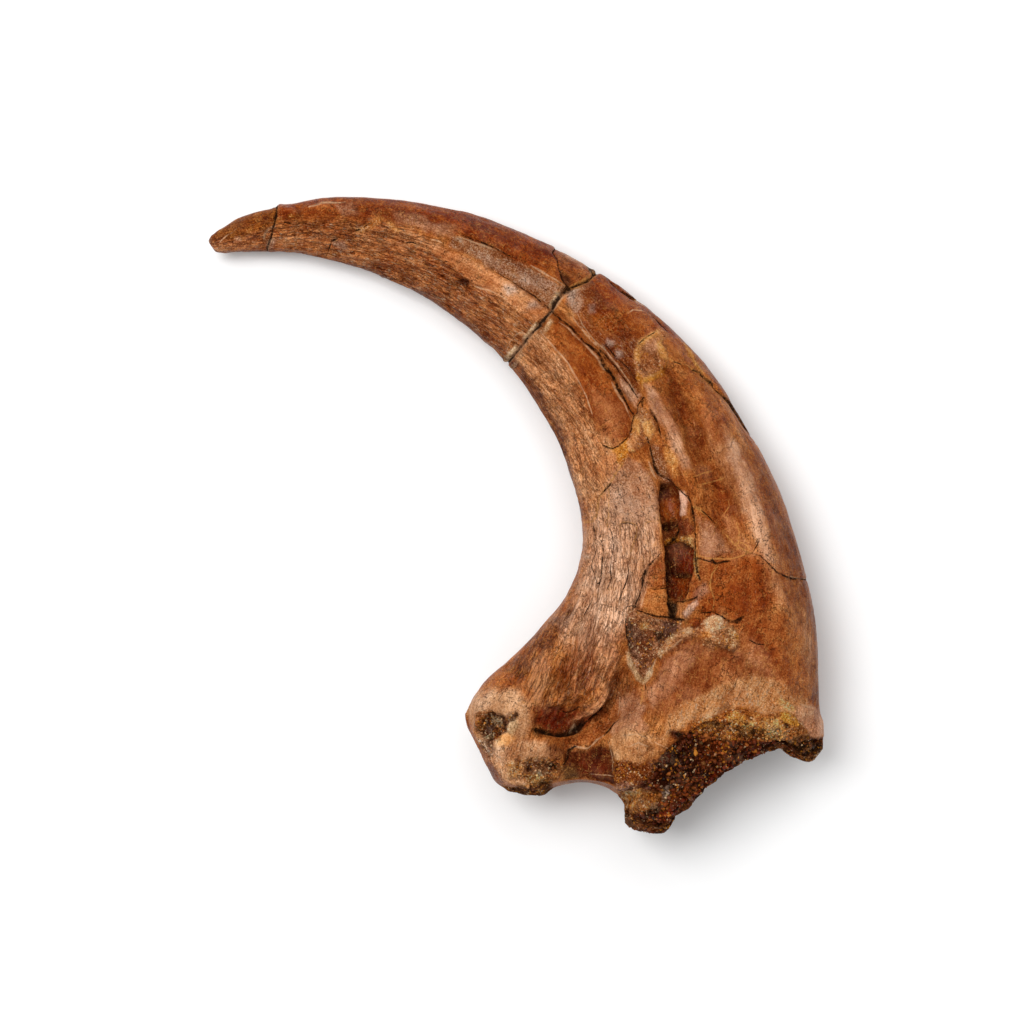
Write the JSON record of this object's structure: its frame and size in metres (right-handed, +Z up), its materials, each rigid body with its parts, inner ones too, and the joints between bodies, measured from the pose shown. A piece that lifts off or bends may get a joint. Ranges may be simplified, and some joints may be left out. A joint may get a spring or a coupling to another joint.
{
  "type": "fossil claw",
  "caption": "Curved dinosaur hand claw of brown fossil bone, with a glued break, a grooved flank and a broken joint end, lying flat on its side.",
  "frame": {"origin": "centre of the bounding box at the level that the claw rests on", "axes": "+Z up through the thickness of the lying claw, +Y from the joint towards the tip end of the curve, +X towards the outer edge of the curve"},
  "size_m": [0.1544, 0.16, 0.0382],
  "materials": {
    "fossil_bone": "polished brown mineralised bone with fibres, ochre matrix and a rough dark spongy break"
  },
  "bodies": {
    "root": {"fossil_claw": "fossil_bone"}
  },
  "joints": []
}
